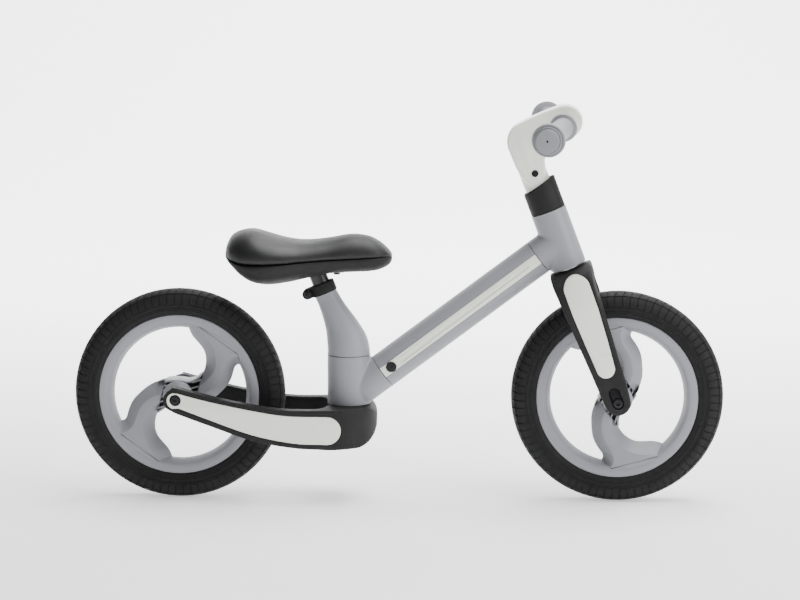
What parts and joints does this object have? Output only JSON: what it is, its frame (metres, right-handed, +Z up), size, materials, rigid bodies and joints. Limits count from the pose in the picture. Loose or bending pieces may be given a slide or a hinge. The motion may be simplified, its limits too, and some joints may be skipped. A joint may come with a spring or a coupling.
{
  "type": "balance bike",
  "caption": "Child's balance bike with a one-tube frame, spoked moulded wheels, a steered fork with swept bars and a height-adjustable padded saddle.",
  "frame": {"origin": "on the ground, midway between the two axles, at the bottom centre of the bounding box", "axes": "+X forward towards the front wheel, +Y towards the rider's left, +Z up"},
  "size_m": [0.89, 0.393, 0.5427],
  "materials": {
    "grey_moulding": "satin",
    "white_moulding": "semi-gloss",
    "black_moulding": "satin",
    "tyre_rubber": "matt",
    "saddle_leather": "fine grain, soft sheen",
    "grip_rubber": "matt",
    "bright_steel": "zinc plated",
    "black_steel": "black oxide",
    "painted_steel": "black powder coat"
  },
  "bodies": {
    "frame": {"rear_stay_casting": "black_moulding", "stay_panel_right": "white_moulding", "stay_panel_left": "white_moulding", "seat_tube_socket": "grey_moulding", "seat_tube_upper": "grey_moulding", "frame_bolt": "bright_steel", "seat_clamp": "black_moulding", "clamp_bolt": "bright_steel", "clamp_nut": "bright_steel", "main_tube": "grey_moulding", "main_tube_panel_right": "white_moulding", "main_tube_panel_left": "white_moulding", "main_tube_bolt": "black_steel", "main_tube_sleeve_nut": "black_steel", "head_lug": "grey_moulding", "headset_bearing_lower": "bright_steel", "headset_bearing_upper": "bright_steel", "rear_axle": "bright_steel", "rear_axle_bolt_right": "black_steel", "rear_axle_bolt_left": "black_steel"},
    "steering": {"fork": "black_moulding", "fork_panel_right": "white_moulding", "fork_panel_left": "white_moulding", "steerer_tube": "bright_steel", "head_collar": "black_moulding", "stem": "white_moulding", "stem_bolt": "black_steel", "stem_nut": "black_steel", "handlebar_tube": "bright_steel", "grip_right": "grip_rubber", "grip_left": "grip_rubber", "grip_plug_right": "grip_rubber", "grip_plug_left": "grip_rubber", "front_axle": "bright_steel", "front_axle_bolt_right": "black_steel", "front_axle_bolt_left": "black_steel"},
    "front_wheel": {"front_tyre": "tyre_rubber", "front_rim": "grey_moulding", "front_bearing_right": "bright_steel", "front_bearing_left": "bright_steel", "front_hub_cover_right": "grey_moulding", "front_hub_cover_left": "grey_moulding"},
    "rear_wheel": {"rear_tyre": "tyre_rubber", "rear_rim": "grey_moulding", "rear_bearing_right": "bright_steel", "rear_bearing_left": "bright_steel", "rear_hub_cover_right": "grey_moulding", "rear_hub_cover_left": "grey_moulding"},
    "saddle": {"saddle_cushion": "saddle_leather", "saddle_shell": "black_moulding", "seat_post": "painted_steel", "saddle_bolt_front": "bright_steel", "saddle_bolt_rear": "bright_steel"}
  },
  "joints": [
    {"name": "steer", "type": "hinge", "parent": "frame", "child": "steering", "pos_m": [0.233, 0, 0.32354], "axis": [-0.3514, 0, 0.9362], "range_deg": [-40, 40]},
    {"name": "front_wheel_spin", "type": "hinge", "parent": "steering", "child": "front_wheel", "pos_m": [0.3, 0, 0.145], "axis": [0, 1, 0], "continuous": true},
    {"name": "rear_wheel_spin", "type": "hinge", "parent": "frame", "child": "rear_wheel", "pos_m": [-0.3, 0, 0.145], "axis": [0, 1, 0], "continuous": true},
    {"name": "saddle_height", "type": "slide", "parent": "frame", "child": "saddle", "axis": [-0.3746, 0, 0.9272], "range_m": [0, 0.045]}
  ]
}
